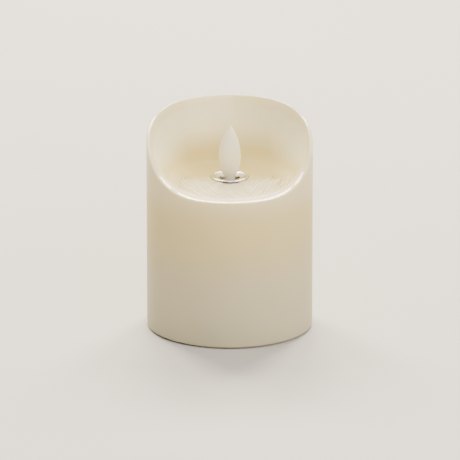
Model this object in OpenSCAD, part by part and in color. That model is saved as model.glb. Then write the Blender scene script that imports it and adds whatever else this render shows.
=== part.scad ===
// Flameless LED candle: a hollow wax pillar with a scooped, S-shaped rim, a chrome cup in the bowl and a
// flame paddle that swings on a wire.  A coil under the flame's magnet keeps it moving, and three AAA
// cells lie in the base behind a hinged door.
//
// Millimetres, +Z up.  The origin is on the table under the middle, and the low lip of the rim faces -Y.

/* [Wax pillar] */
// Outside diameter of the wax
candle_d = 75; // [75:0.5:78]
// Highest point of the rim, at the back
rim_back = 98; // [96:1:104]
// Height of the rim where its S-curve turns
rim_mid = 83; // [81:1:86]
// Lowest point of the rim, at the front
rim_front = 69; // [69:0.5:71]
// How far in front of the middle the S-curve turns
rim_turn = 7; // [4:1:10]
// Width of the land on top of the rim
rim_land = 1.5; // [1.2:0.1:2]
// Height of the bowl's floor
bowl_floor = 69.5; // [68.6:0.1:70]
// How late the bowl's wall turns up: 2 is a round bowl, 6 a pot
bowl_power = 4; // [3:0.5:6]
// Diameter of the hollow inside
cavity_d = 66; // [65.8:0.1:66.2]
// Height of the wax above the table
wax_lift = 0.6; // [0.4:0.1:0.8]

/* [Flame] */
// Height of the pivot wire
pivot_z = 65.1; // [64.9:0.1:65.2]
// Height of the flame's tip
flame_tip = 93.7; // [88:0.1:96]
// Height of the flame's widest place
flame_belly = 78.6; // [77:0.1:80]
// Width of the flame
flame_w = 10; // [8:0.5:11]
// Thickness of the flame as a share of its width
flame_flat = 0.6; // [0.5:0.05:1]
// How far the tip bends to the right
tip_bend = 0.7; // [0:0.1:1.2]
// Radius of the pivot wire
wire_r = 0.4; // [0.35:0.05:0.4]

/* [Cup] */
// Diameter of the chrome rim
cup_d = 16.9; // [16:0.1:17.5]
// How far the dish drops below its rim
dish_drop = 1.2; // [0.8:0.1:1.6]
// Length of the slot that the flame stands in
slot_len = 9.5; // [9:0.5:11.5]
// Width of that slot
slot_w = 5.4; // [5:0.1:6]

/* [Base] */
// Diameter of the chassis and its bottom cover
base_d = 65.2; // [65:0.1:65.4]
// Thickness of the bottom cover and the door
plate_t = 2; // [1.8:0.1:2]
// Height of the bottom cover above the table
plate_z = 0.9; // [0.8:0.1:0.9]
// Top of the deck that carries the electronics
deck_top = 16; // [16:0.1:16.2]
// Diameter of the circle that the rubber feet stand on
feet_circle = 57.2; // [56:0.2:57.4]

/* [Cells] */
// Diameter of one AAA cell
cell_d = 10.5; // [10.3:0.1:10.5]
// Length of one AAA cell with its button
cell_len = 44.5; // [44:0.1:44.5]
// Distance between neighbouring cells
cell_pitch = 10.8; // [10.7:0.1:10.9]

/* [Electronics] */
// Diameter of the control board
board_d = 36; // [34:0.5:37]
// Height of the board's underside
board_z = 20; // [20:0.1:20.4]
// Outside diameter of the drive coil
coil_d = 14.4; // [12:0.2:15]
// Lean of the LED towards the flame, in degrees
led_lean = 13; // [11:1:14]

/* [Hidden] */
$fn = 64;
eps = 0.05;

// Wax
candle_r = candle_d / 2;
crest_r = candle_r - rim_land;
cavity_r = cavity_d / 2;
cavity_top = 63.6;
wax_hole_r = 7.7;
wax_edge_r = 1;
bowl_rings = 10;
bowl_spokes = 72;

// Cup
cup_top = bowl_floor + 0.6;
cup_wall = 0.6;
skirt_r = 7.5;
dish_r = 7.6;
dish_sphere_r = (dish_r * dish_r + dish_drop * dish_drop) / (2 * dish_drop);
dish_steps = 10;

// Housing of the swinging flame: a drum over the board, a cone, and a column with a lid
drum_r = 20.5;
drum_top = 33;
column_r = 14;
column_foot = 36.3;
shell_t = 1.5;
lid_z = cavity_top - shell_t;
lid_slot_x = 3.4;
lid_slot_y = 2.2;
post_x = 2;
post_in = 4.9;
post_out = 6.3;
post_top = 65.9;
join_r = 2.6;
join_len = 6;
joins = [[15.6, 56], [22.4, 24]];
tab_r = 3;
tab_t = 2;
tab_reach = 25.5;
tab_angles = [54, 126, 234, 306];

// Screws: shank and head
shank_r = 1;
pilot_r = 1;
pass_r = 1.15;
head_r = 1.9;
head_t = 1.1;
small_shank_r = 0.8;
small_head_r = 1.5;
small_head_t = 0.9;

// Flame and its pendulum
neck_r = 2.3;
neck_z = pivot_z + 1.2;
belly_drop = 9.6;
peg_r = 0.85;
peg_len = 2.7;
arm_w = 4.4;
arm_t = 2;
eye_gap = 0.08;
magnet_r = 4;
magnet_t = 3;
holder_r = 4.8;
holder_z = 37.5;
holder_t = 4;

// LED, 3 mm round
led_r = 1.5;
led_len = 5.3;
led_top = [-4.9, 65.75];
led_flange_r = 1.9;
led_lead_len = 3.2;
led_lead_gap = 1.27;

// Board, coil and what is soldered on
board_t = 1.2;
board_r = board_d / 2;
board_top = board_z + board_t;
board_post_x = 14;
bobbin_r = 8;
bobbin_hub_r = 3;
bobbin_flange = 1.2;
bobbin_h = 12.8;

// Chassis
base_r = base_d / 2;
plate_top = plate_z + plate_t;
skirt_t = 1.4;
deck_t = 1.6;
deck_z = deck_top - deck_t;
bay_x = 24.6;
bay_y = 16.3;
bay_wall = 1.2;
boss_r = 2.4;
cover_screw_r = 28.2;
cover_screw_angles = [60, 120, 240, 300];
feet_angles = [45, 135, 225, 315];
rib_angles = [0, 90, 180, 270];
rib_reach = cavity_r - base_r + 0.95;
foot_r = 2.7;
foot_h = 1.5;

// Cells lie along X; the button of the middle one points the other way
cell_z = 8.95;
contact_t = 0.4;
contact_x = bay_x - contact_t;
button_r = 2.75;
button_h = 0.8;
contact_w = 8;
contact_h = 8.6;
contact_low = 4.4;
lug_y = 10;
lug_z = 12.9;
spring_turns = 3;
spring_wire_r = 0.3;
spring_gap = 2 * contact_x - cell_len;

// Door and its hinge
door_x = 24;
door_y = 16.2;
door_gap = 0.2;
barrel_r = 1.3;
hinge_z = plate_z + barrel_r;
hinge_pin_r = 0.7;
hinge_pin_gap = 0.06;
hinge_pin_y = 17.6;
ear_y = 17.9;
ear_x = 1.5;
ear_top = 4.4;

// Switch
switch_y = -23.8;
pocket_x = 6.8;
pocket_y = 2.8;
pocket_ceiling = 4.2;
switch_floor = 5.4;
frame_t = 0.4;
switch_body_z = switch_floor + frame_t;
switch_size = [13, 5.6, 5];
switch_screw_x = 8.4;
switch_pins = [-2, 0, 2];

// Soldered wires: routes from end to end
thin_wire_r = 0.45;
thick_wire_r = 0.6;
battery_route = [
    [-26.8, -9.8, 13.3], [-26.8, -9.8, 15], [-26.6, -9.7, 16.8], [-25, -9, 17.7],
    [-22.4, -8, 17.8], [-19.6, -6.9, 17.9], [-16.9, -5.6, 18.1], [-15.5, -5, 18.8], [-15.5, -5, 19.4],
    [-15.5, -5, 20]
];
switch_route = [
    [0, -23.8, 11.8], [0, -23.8, 14], [0, -23.7, 16.4], [0, -22.6, 17.6],
    [0, -20.4, 17.9], [0, -17.4, 18.1], [0, -16, 18.8], [0, -16, 19.4], [0, -16, 20]
];
led_route = [
    [-6.85, 1.27, 57.2], [-7.2, 1.5, 55.6], [-7.7, 3.4, 52.6], [-8.3, 5.8, 49], [-8.6, 7.2, 44.6],
    [-8.6, 7.4, 38], [-8.6, 7.4, 31], [-8.9, 7.6, 25.6], [-9.2, 7.8, 22.6], [-9.2, 7.8, 21.2]
];
coil_route = [
    [6.9, 2.4, 22.8], [8, 3.2, 22.9], [9.4, 3.9, 22.7], [10.2, 4.2, 22], [10.4, 4.3, 21.2]
];

// ---- Shape helpers ----

function rim_z(y) = y > -rim_turn
    ? rim_mid + (rim_back - rim_mid) * sin(90 * (y + rim_turn) / (candle_r + rim_turn))
    : rim_mid - (rim_mid - rim_front) * sin(90 * (-rim_turn - y) / (candle_r - rim_turn));

function bowl_z(r, angle) =
    bowl_floor + (rim_z(candle_r * sin(angle)) - bowl_floor) * pow(r / crest_r, bowl_power);

function flame_r(z) = z > flame_belly
    ? flame_w / 2 * (1 - pow(1 - (flame_tip - z) / (flame_tip - flame_belly), 2.1))
    : max(neck_r, flame_w / 2 * sqrt(max(0, 1 - pow((flame_belly - z) / belly_drop, 2))));

function flame_bend(z) =
    z < flame_belly ? 0 : tip_bend * pow((z - flame_belly) / (flame_tip - flame_belly), 2);

function unit(v) = v / norm(v);

// Points of a smooth route through hand-set points, with `steps` points to each stretch
function spline_point(p, i, t) =
    let (a = p[max(0, i - 1)], b = p[i], c = p[i + 1], d = p[min(len(p) - 1, i + 2)])
    0.5 * (2 * b + (c - a) * t + (2 * a - 5 * b + 4 * c - d) * t * t
        + (3 * b - a - 3 * c + d) * t * t * t);

function smooth_route(p, steps) = concat(
    [for (i = [0:len(p) - 2], s = [0:steps - 1]) spline_point(p, i, s / steps)],
    [p[len(p) - 1]]
);

function tangent(p, i) = unit(p[min(i + 1, len(p) - 1)] - p[max(i - 1, 0)]);

// Side directions that turn as little as they can from one ring to the next
function side_ways(p, i, before) =
    let (t = tangent(p, i), side = unit(before - (before * t) * t))
    i == len(p) - 1 ? [side] : concat([side], side_ways(p, i + 1, side));

module tube(route, r, sides = 8, start = [1, 0.1, 0.05]) {
    side = side_ways(route, 0, start);
    last = len(route) - 1;
    points = [
        for (i = [0:last], k = [0:sides - 1])
            let (a = 360 * k / sides, up = cross(tangent(route, i), side[i]))
            route[i] + r * (cos(a) * side[i] + sin(a) * up)
    ];
    walls = [
        for (i = [0:last - 1], k = [0:sides - 1], half = [0, 1])
            let (a = i * sides + k, b = i * sides + (k + 1) % sides)
            half == 0 ? [a, a + sides, b] : [b, a + sides, b + sides]
    ];
    polyhedron(points, concat(
        walls,
        [[for (k = [0:sides - 1]) k]],
        [[for (k = [sides - 1:-1:0]) last * sides + k]]
    ));
}

// A pan-head screw that points up from its head, with a cross recess
module screw(shank, shank_len, head, head_h) {
    recess = head * 1.1;
    difference() {
        cylinder(r = head, h = head_h, $fn = 32);
        for (a = [0, 90]) rotate([0, 0, a])
            translate([-recess / 2, -0.2, -eps]) cube([recess, 0.4, head_h * 0.6 + eps]);
    }
    translate([0, 0, head_h]) cylinder(r = shank, h = shank_len, $fn = 32);
}

module at_angles(angles, r) {
    for (a = angles) rotate([0, 0, a]) translate([r, 0, 0]) children();
}

module box_between(low, high) {
    translate(low) cube(high - low);
}

// ---- Wax pillar ----

// Everything above the bowl and the rim, as one height field
module above_bowl() {
    rings = [for (i = [0:bowl_rings]) crest_r * sin(90 * i / bowl_rings)];
    outer_r = candle_r + 1;
    top_z = rim_back + 2;
    field = [
        for (i = [1:bowl_rings], j = [0:bowl_spokes - 1])
            let (a = 360 * j / bowl_spokes) [rings[i] * cos(a), rings[i] * sin(a), bowl_z(rings[i], a)]
    ];
    land = [
        for (j = [0:bowl_spokes - 1])
            let (a = 360 * j / bowl_spokes) [outer_r * cos(a), outer_r * sin(a), bowl_z(crest_r, a)]
    ];
    lid = [for (p = land) [p[0], p[1], top_z]];
    centre = len(field) + 2 * bowl_spokes;
    floor_faces = [for (j = [0:bowl_spokes - 1]) [centre, j, (j + 1) % bowl_spokes]];
    bowl_faces = [
        for (i = [0:bowl_rings - 1], j = [0:bowl_spokes - 1], half = [0, 1])
            let (
                a = i * bowl_spokes + j,
                d = i * bowl_spokes + (j + 1) % bowl_spokes,
                b = a + bowl_spokes,
                c = d + bowl_spokes
            )
            half == 0 ? [a, b, c] : [a, c, d]
    ];
    edge = bowl_rings * bowl_spokes;
    side_faces = [
        for (j = [0:bowl_spokes - 1])
            let (n = (j + 1) % bowl_spokes)
            [edge + j, edge + bowl_spokes + j, edge + bowl_spokes + n, edge + n]
    ];
    polyhedron(
        concat(field, land, lid, [[0, 0, bowl_floor]]),
        concat(
            floor_faces, bowl_faces, side_faces,
            [[for (j = [bowl_spokes - 1:-1:0]) centre - bowl_spokes + j]]
        )
    );
}

module wax_shell() {
    color("#ece0c4")
    difference() {
        rotate_extrude($fn = 128) polygon(concat(
            [
                [wax_hole_r, cavity_top],
                [cavity_r, cavity_top],
                [cavity_r, wax_lift]
            ],
            [
                for (a = [0:30:90])
                    [candle_r - wax_edge_r * (1 - sin(a)), wax_lift + wax_edge_r * (1 - cos(a))]
            ],
            [
                [candle_r, rim_back + 1],
                [wax_hole_r, rim_back + 1]
            ]
        ));
        above_bowl();
        translate([0, 0, bowl_floor]) cylinder(r = cup_d / 2 + 0.1, h = 2);
    }
}

// ---- Flame cup and flame ----

function dish_z(r) = cup_top - dish_drop + dish_sphere_r - sqrt(dish_sphere_r * dish_sphere_r - r * r);

module flame_cup() {
    inner_r = skirt_r - cup_wall;
    color("#e8e8ea")
    difference() {
        rotate_extrude() polygon(concat(
            [for (i = [0:dish_steps]) [dish_r * i / dish_steps, dish_z(dish_r * i / dish_steps)]],
            [
                [cup_d / 2, cup_top],
                [cup_d / 2, bowl_floor],
                [skirt_r, bowl_floor],
                [skirt_r, cavity_top],
                [inner_r, cavity_top]
            ],
            [
                for (i = [dish_steps:-1:0])
                    [inner_r * i / dish_steps, dish_z(inner_r * i / dish_steps) - cup_wall]
            ]
        ));
        translate([0, 0, cavity_top]) linear_extrude(cup_top - cavity_top + 1) {
            square([slot_len - slot_w, slot_w], center = true);
            for (side = [-1, 1]) translate([side * (slot_len - slot_w) / 2, 0]) circle(d = slot_w);
        }
    }
}

module pivot_wire() {
    color("#b9bcc0")
    translate([0, post_out - 0.1, pivot_z]) rotate([90, 0, 0])
        cylinder(r = wire_r, h = 2 * (post_out - 0.1), $fn = 32);
}

// A flattened teardrop whose tip bends a little to the right, lofted through oval rings
module flame_paddle() {
    spokes = 36;
    low_steps = 9;
    high_steps = 12;
    heights = concat(
        [for (i = [0:low_steps]) neck_z + (flame_belly - neck_z) * i / low_steps],
        [for (i = [1:high_steps - 1]) flame_belly + (flame_tip - flame_belly) * sin(90 * i / high_steps)]
    );
    last = len(heights) - 1;
    rings = [
        for (z = heights, k = [0:spokes - 1])
            let (a = 360 * k / spokes, r = flame_r(z))
            [flame_bend(z) + r * cos(a), flame_flat * r * sin(a), z]
    ];
    foot = len(rings);
    tip = foot + 1;
    walls = [
        for (i = [0:last - 1], k = [0:spokes - 1], half = [0, 1])
            let (a = i * spokes + k, b = i * spokes + (k + 1) % spokes)
            half == 0 ? [a, a + spokes, b] : [b, a + spokes, b + spokes]
    ];
    color("#efe8d6")
    difference() {
        polyhedron(
            concat(rings, [[0, 0, neck_z], [flame_bend(flame_tip), 0, flame_tip]]),
            concat(
                walls,
                [for (k = [0:spokes - 1]) [foot, k, (k + 1) % spokes]],
                [for (k = [0:spokes - 1]) [tip, last * spokes + (k + 1) % spokes, last * spokes + k]]
            )
        );
        translate([0, 0, neck_z - 1]) cylinder(r = peg_r, h = peg_len + 1.2, $fn = 32);
    }
}

module flame_arm() {
    color("#d8d4c8")
    difference() {
        union() {
            translate([-arm_w / 2, -arm_t / 2, holder_z + holder_t - eps])
                cube([arm_w, arm_t, neck_z - holder_z - holder_t + eps]);
            translate([0, 0, neck_z - eps]) cylinder(r = peg_r, h = peg_len + eps, $fn = 32);
            translate([0, 0, holder_z]) cylinder(r = holder_r, h = holder_t);
        }
        translate([0, 0, holder_z - 1]) cylinder(r = magnet_r, h = magnet_t + 1);
        translate([0, arm_t, pivot_z]) rotate([90, 0, 0])
            cylinder(r = wire_r + eye_gap, h = 2 * arm_t, $fn = 32);
    }
}

module drive_magnet() {
    color("#9fa3a8") translate([0, 0, holder_z]) cylinder(r = magnet_r, h = magnet_t);
}

// ---- Housing of the pendulum, in two halves that meet on the plane y = 0 ----

// One half; side -1 is the front.  The front half lets the joining screws pass, the rear one holds them.
module housing_half(side, screw_hole_r) {
    inner_drum_r = drum_r - shell_t;
    inner_column_r = column_r - shell_t;
    difference() {
        union() {
            rotate_extrude(angle = side * 180) polygon([
                [inner_drum_r, deck_top],
                [drum_r, deck_top],
                [drum_r, drum_top],
                [column_r, column_foot],
                [column_r, cavity_top],
                [0, cavity_top],
                [0, lid_z],
                [inner_column_r, lid_z],
                [inner_column_r, column_foot - 0.8],
                [inner_drum_r, drum_top - 0.8]
            ]);
            for (x = [-1, 1], join = joins)
                translate([x * join[0], side > 0 ? join_len : 0, join[1]])
                    rotate([90, 0, 0]) cylinder(r = join_r, h = join_len, $fn = 32);
            for (a = tab_angles) if (side * sin(a) > 0) rotate([0, 0, a]) {
                translate([tab_reach, 0, deck_top]) cylinder(r = tab_r, h = tab_t, $fn = 32);
                translate([inner_drum_r + 0.3, -tab_r, deck_top])
                    cube([tab_reach - inner_drum_r - 0.3, 2 * tab_r, tab_t]);
            }
            translate([-post_x, side > 0 ? post_in : -post_out, cavity_top - eps])
                cube([2 * post_x, post_out - post_in, post_top - cavity_top + eps]);
        }
        for (x = [-1, 1], join = joins) translate([x * join[0], join_len + 1, join[1]])
            rotate([90, 0, 0]) cylinder(r = screw_hole_r, h = 2 * join_len + 2, $fn = 32);
        at_angles(tab_angles, tab_reach) translate([0, 0, deck_top - 1])
            cylinder(r = pass_r, h = tab_t + 2, $fn = 32);
        box_between([-lid_slot_x, -lid_slot_y, lid_z - 1], [lid_slot_x, lid_slot_y, cavity_top + 1]);
        led_place() translate([0, 0, -1]) cylinder(r = led_r + 0.1, h = led_len + 2, $fn = 32);
        box_between([-wire_r - eps, -post_out - 1, pivot_z], [wire_r + eps, post_out + 1, post_top + 1]);
        translate([0, post_out + 1, pivot_z]) rotate([90, 0, 0])
            cylinder(r = wire_r + eps, h = 2 * post_out + 2, $fn = 32);
        for (a = [19, 199]) rotate([0, 0, a])
            translate([drum_r - 3, -1.5, deck_top - 1]) cube([4, 3, 4.4]);
        box_between([-3, -drum_r - 1, deck_top - 1], [3, -drum_r + 3, deck_top + 3.4]);
    }
}

module housing_front() {
    color("#e6e4dd") housing_half(-1, pass_r);
}

module housing_rear() {
    color("#dddbd4") housing_half(1, pilot_r);
}

module column_screws() {
    color("#8e9196")
    for (x = [-1, 1], join = joins)
        translate([x * join[0], -join_len - head_t, join[1]])
            rotate([-90, 0, 0]) screw(shank_r, 2 * join_len - 1, head_r, head_t);
}

module housing_screws() {
    shank_len = 8;
    color("#8e9196")
    at_angles(tab_angles, tab_reach) translate([0, 0, deck_top + tab_t + head_t])
        mirror([0, 0, 1]) screw(shank_r, shank_len, head_r, head_t);
}

// ---- LED under the left end of the slot ----

module led_place() {
    translate([led_top[0], 0, led_top[1]]) rotate([0, led_lean, 0]) translate([0, 0, -led_len]) children();
}

module flame_led() {
    color("#f6d36b")
    led_place() {
        cylinder(r = led_flange_r, h = 1, $fn = 32);
        cylinder(r = led_r, h = led_len - led_r, $fn = 32);
        translate([0, 0, led_len - led_r]) sphere(r = led_r, $fn = 32);
        for (side = [-1, 1]) translate([-0.25, side * led_lead_gap - 0.25, -led_lead_len])
            cube([0.5, 0.5, led_lead_len + 0.5]);
    }
}

module led_wires() {
    color("#c0392b")
    for (side = [0, 1]) mirror([0, side, 0]) tube(smooth_route(led_route, 3), thin_wire_r);
}

// ---- Control board and coil ----

module control_board() {
    color("#3f7d4a")
    translate([0, 0, board_z]) difference() {
        cylinder(r = board_r, h = board_t);
        for (x = [-1, 1]) translate([x * board_post_x, 0, -1])
            cylinder(r = small_shank_r + 0.1, h = board_t + 2, $fn = 32);
    }
}

module control_chip() {
    chip_r = 3.8;
    chip_h = 1.4;
    dome_r = (chip_r * chip_r + chip_h * chip_h) / (2 * chip_h);
    color("#1c1c1e")
    translate([0, -13.2, board_top]) intersection() {
        translate([0, 0, chip_h - dome_r]) sphere(r = dome_r);
        cylinder(r = chip_r + 1, h = chip_h + 1);
    }
}

module drive_transistors() {
    color("#26262a")
    for (place = [[9.9, 9.9, 45], [3.6, 13.5, 75]])
        translate([place[0], place[1], board_top]) rotate([0, 0, place[2]]) {
            for (leg = [-1.27, 0, 1.27]) translate([leg - 0.2, -0.2, 0]) cube([0.4, 0.4, 1.6]);
            translate([0, 0, 1.5]) linear_extrude(4.4) intersection() {
                circle(r = 2.3, $fn = 32);
                translate([-2.3, -2.3]) square([4.6, 3.6]);
            }
        }
}

module board_capacitor() {
    color("#2f3b5c")
    translate([-7, 12.1, board_top]) {
        cylinder(r = 2.3, h = 0.5);
        translate([0, 0, 0.5]) cylinder(r = 2.5, h = 6.5);
    }
}

module timer_crystal() {
    color("#c9ccd0")
    rotate([0, 0, 225]) translate([14.2, 0, board_top]) {
        translate([-1, -2, 0]) cube([2, 4, 2.6]);
        for (side = [-1, 1]) translate([0, side * 2, 0]) cylinder(r = 1, h = 2.6, $fn = 24);
    }
}

module board_resistors() {
    color("#c8ae84")
    rotate([0, 0, 315]) for (k = [-1, 0, 1])
        translate([12.8, k * 2.4, board_top + 0.9]) rotate([0, 90, 0])
            translate([0, 0, -2]) {
                cylinder(r = 0.9, h = 4, $fn = 24);
                translate([0, 0, -0.8]) cylinder(r = 0.3, h = 5.6, $fn = 16);
            }
}

module board_screws() {
    color("#8e9196")
    for (x = [-1, 1]) translate([x * board_post_x, 0, board_top + small_head_t])
        mirror([0, 0, 1]) screw(small_shank_r, 4.4, small_head_r, small_head_t);
}

module coil_bobbin() {
    color("#f2f0ea")
    translate([0, 0, board_top]) difference() {
        union() {
            cylinder(r = bobbin_r, h = bobbin_flange);
            cylinder(r = bobbin_hub_r, h = bobbin_h);
            translate([0, 0, bobbin_h - bobbin_flange]) cylinder(r = bobbin_r, h = bobbin_flange);
        }
        translate([0, 0, -1]) cylinder(r = bobbin_hub_r - 1, h = bobbin_h + 2, $fn = 32);
    }
}

module drive_coil() {
    color("#b5651d")
    translate([0, 0, board_top + bobbin_flange]) difference() {
        cylinder(d = coil_d, h = bobbin_h - 2 * bobbin_flange);
        translate([0, 0, -1]) cylinder(r = bobbin_hub_r, h = bobbin_h + 2);
    }
}

module coil_leads() {
    color("#a0522d")
    for (side = [0, 1]) mirror([0, side, 0]) tube(smooth_route(coil_route, 2), 0.3, 6, [0, 0, 1]);
}

// ---- Base chassis, cover and feet ----

module base_chassis() {
    bay_out_x = bay_x + bay_wall;
    bay_out_y = bay_y + bay_wall;
    cover_boss_hole = 8;
    color("#efede6")
    difference() {
        union() {
            difference() {
                translate([0, 0, plate_top]) cylinder(r = base_r, h = deck_top - plate_top);
                translate([0, 0, plate_top - 1]) cylinder(r = base_r - skirt_t, h = deck_z - plate_top + 1);
            }
            difference() {
                box_between([-bay_out_x, -bay_out_y, plate_top], [bay_out_x, bay_out_y, deck_z + eps]);
                box_between([-bay_x, -bay_y, plate_top - 1], [bay_x, bay_y, deck_z]);
            }
            at_angles(cover_screw_angles, cover_screw_r) translate([0, 0, plate_top])
                cylinder(r = boss_r, h = deck_z - plate_top + eps, $fn = 32);
            at_angles(tab_angles, tab_reach) translate([0, 0, 8.4])
                cylinder(r = boss_r, h = deck_z - 8.4 + eps, $fn = 32);
            for (x = [-1, 1]) translate([x * board_post_x, 0, deck_top - eps])
                cylinder(r = boss_r, h = board_z - deck_top + eps, $fn = 32);
            at_angles(rib_angles, base_r - 1) box_between([0, -1.5, 5], [rib_reach, 1.5, 14]);
        }
        at_angles(cover_screw_angles, cover_screw_r) translate([0, 0, plate_top - 1])
            cylinder(r = pilot_r, h = cover_boss_hole + 1, $fn = 32);
        at_angles(tab_angles, tab_reach) translate([0, 0, 9.4])
            cylinder(r = pilot_r, h = deck_top - 8.4, $fn = 32);
        for (x = [-1, 1]) translate([x * board_post_x, 0, board_z - 3.4])
            cylinder(r = small_shank_r, h = 4.4, $fn = 32);
        for (turn = [0, 180]) rotate([0, 0, turn]) {
            translate([-26.8, -9.6, deck_z - 1]) cylinder(r = 1.8, h = deck_t + 2, $fn = 32);
            box_between([-bay_out_x - 1, -lug_y - 2, lug_z - 0.2], [-bay_x + 1, -lug_y + 2, lug_z + 0.6]);
        }
        translate([0, switch_y - 0.4, deck_z - 1]) cylinder(r = 3, h = deck_t + 2, $fn = 32);
        box_between([bay_x - 1, -bay_y, plate_top - 1], [bay_out_x + 1, bay_y, 4.2]);
        for (side = [0, 1]) mirror([0, side, 0])
            box_between([door_x - 2, bay_y - 0.1, plate_top - 1], [door_x + 2.6, ear_y + 0.6, ear_top + 0.3]);
    }
}

module base_cover() {
    counterbore_r = 2.1;
    color("#f1efe8")
    difference() {
        union() {
            translate([0, 0, plate_z]) cylinder(r = base_r, h = plate_t);
            box_between(
                [-switch_screw_x - 1.6, switch_y - pocket_y - 1.2, plate_top - eps],
                [switch_screw_x + 1.6, switch_y + pocket_y + 1.2, switch_floor]
            );
            for (side = [0, 1]) mirror([0, side, 0]) box_between(
                [door_x - ear_x, door_y + door_gap, plate_top - eps],
                [door_x + ear_x, ear_y, ear_top]
            );
        }
        box_between(
            [-door_x - door_gap, -door_y - door_gap, plate_z - 1],
            [door_x + 2, door_y + door_gap, plate_top + 1]
        );
        translate([door_x, ear_y + 1, hinge_z]) rotate([90, 0, 0])
            cylinder(r = hinge_pin_r + hinge_pin_gap, h = 2 * ear_y + 2, $fn = 32);
        at_angles(cover_screw_angles, cover_screw_r) {
            translate([0, 0, plate_z - 1]) cylinder(r = pass_r, h = plate_t + 2, $fn = 32);
            translate([0, 0, plate_z - 1]) cylinder(r = counterbore_r, h = head_t + 1, $fn = 32);
        }
        at_angles(feet_angles, feet_circle / 2) translate([0, 0, plate_z - 1])
            cylinder(r = foot_r, h = foot_h - plate_z + 1, $fn = 32);
        box_between(
            [-pocket_x, switch_y - pocket_y, plate_z - 1],
            [pocket_x, switch_y + pocket_y, pocket_ceiling]
        );
        box_between([-4, switch_y - 1.7, pocket_ceiling - 1], [4, switch_y + 1.7, switch_floor + 1]);
        for (x = [-1, 1]) translate([x * switch_screw_x, switch_y, switch_floor - 2.4])
            cylinder(r = small_shank_r, h = 4, $fn = 32);
        for (y = [-6:2:6]) translate([-door_x - 3.4, y, plate_z - 1])
            cube([1.8, 0.9, 1.4], center = true);
    }
}

module base_screws() {
    color("#8e9196")
    at_angles(cover_screw_angles, cover_screw_r) translate([0, 0, plate_z])
        screw(shank_r, 8.4, head_r, head_t);
}

module rubber_feet() {
    color("#d9d8d4")
    at_angles(feet_angles, feet_circle / 2) {
        cylinder(r1 = foot_r - 0.4, r2 = foot_r, h = 0.4, $fn = 32);
        translate([0, 0, 0.4]) cylinder(r = foot_r, h = foot_h - 0.4, $fn = 32);
    }
}

// ---- Cells and their contacts ----

// One cell along X; way 1 has its button to the left
module cell(way) {
    can_len = cell_len - button_h;
    crimp = 0.5;
    scale([way, 1, 1]) translate([-contact_x, 0, cell_z]) rotate([0, 90, 0]) {
        cylinder(r = button_r, h = button_h + eps);
        translate([0, 0, button_h]) rotate_extrude() polygon([
            [0, 0],
            [cell_d / 2 - crimp, 0],
            [cell_d / 2, crimp],
            [cell_d / 2, can_len - crimp],
            [cell_d / 2 - crimp, can_len],
            [0, can_len]
        ]);
    }
}

module battery_front() {
    color("#3d4a57") translate([0, -cell_pitch, 0]) cell(1);
}

module battery_middle() {
    color("#3d4a57") cell(-1);
}

module battery_rear() {
    color("#3d4a57") translate([0, cell_pitch, 0]) cell(1);
}

// A flat contact plate against the bay's end wall, from y_low to y_high
module contact_plate(side, y_low, y_high) {
    x_low = side > 0 ? contact_x : -bay_x;
    box_between([x_low, y_low, contact_low], [x_low + contact_t, y_high, contact_low + contact_h]);
}

module solder_lug(side) {
    low = side > 0 ? contact_x : -27.8;
    high = side > 0 ? 27.8 : -contact_x;
    y = side * lug_y;
    box_between([low, y - 1.4, lug_z], [high, y + 1.4, lug_z + contact_t]);
}

module positive_terminal() {
    color("#c7cace") {
        contact_plate(-1, -cell_pitch - contact_w / 2, -cell_pitch + contact_w / 2);
        solder_lug(-1);
    }
}

module left_bridge_plate() {
    color("#c7cace") contact_plate(-1, -contact_w / 2, cell_pitch + contact_w / 2);
}

module right_bridge_plate() {
    color("#c7cace") contact_plate(1, -cell_pitch - contact_w / 2, contact_w / 2);
}

module negative_terminal() {
    color("#c7cace") {
        contact_plate(1, cell_pitch - contact_w / 2, cell_pitch + contact_w / 2);
        solder_lug(1);
    }
}

// A conical spring from the contact plate to the flat end of a cell
module contact_spring(side, y) {
    steps = 14 * spring_turns;
    length = spring_gap - 2 * spring_wire_r;
    route = [
        for (i = [0:steps])
            let (t = i / steps, a = 360 * spring_turns * t, r = 3.4 - 1.2 * t)
            [side * (contact_x - spring_wire_r - length * t), y + r * cos(a), cell_z + r * sin(a)]
    ];
    tube(route, spring_wire_r, 6, [1, 0, 0]);
}

module contact_springs() {
    color("#d4d6d8") {
        contact_spring(1, -cell_pitch);
        contact_spring(-1, 0);
        contact_spring(1, cell_pitch);
    }
}

module wire_red() {
    color("#c62828") tube(smooth_route(battery_route, 2), thick_wire_r);
}

module wire_black() {
    color("#222222") rotate([0, 0, 180]) tube(smooth_route(battery_route, 2), thick_wire_r);
}

module switch_wires() {
    color("#e0c64a")
    for (x = switch_pins) translate([x, 0, 0]) tube(smooth_route(switch_route, 2), thin_wire_r);
}

// ---- Battery door ----

module battery_door() {
    tab_x = 3;
    color("#f1efe8")
    difference() {
        union() {
            box_between([-door_x, -door_y, plate_z], [door_x, door_y, plate_top]);
            translate([door_x, door_y, hinge_z]) rotate([90, 0, 0])
                cylinder(r = barrel_r, h = 2 * door_y, $fn = 32);
            translate([door_x, hinge_pin_y, hinge_z]) rotate([90, 0, 0])
                cylinder(r = hinge_pin_r, h = 2 * hinge_pin_y, $fn = 32);
            box_between([-door_x, -4, plate_top - eps], [-door_x + 1.2, 4, plate_top + 1.4]);
        }
        for (side = [-1, 1]) box_between(
            [-door_x - 1, side * 5 - 0.4, plate_z - 1],
            [-door_x + 6, side * 5 + 0.4, plate_top + 2]
        );
        for (k = [0:3]) translate([-door_x + tab_x + 1.4 * k, -3.2, plate_z - 1]) cube([0.6, 6.4, 1.4]);
    }
}

// ---- Slide switch ----

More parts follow.
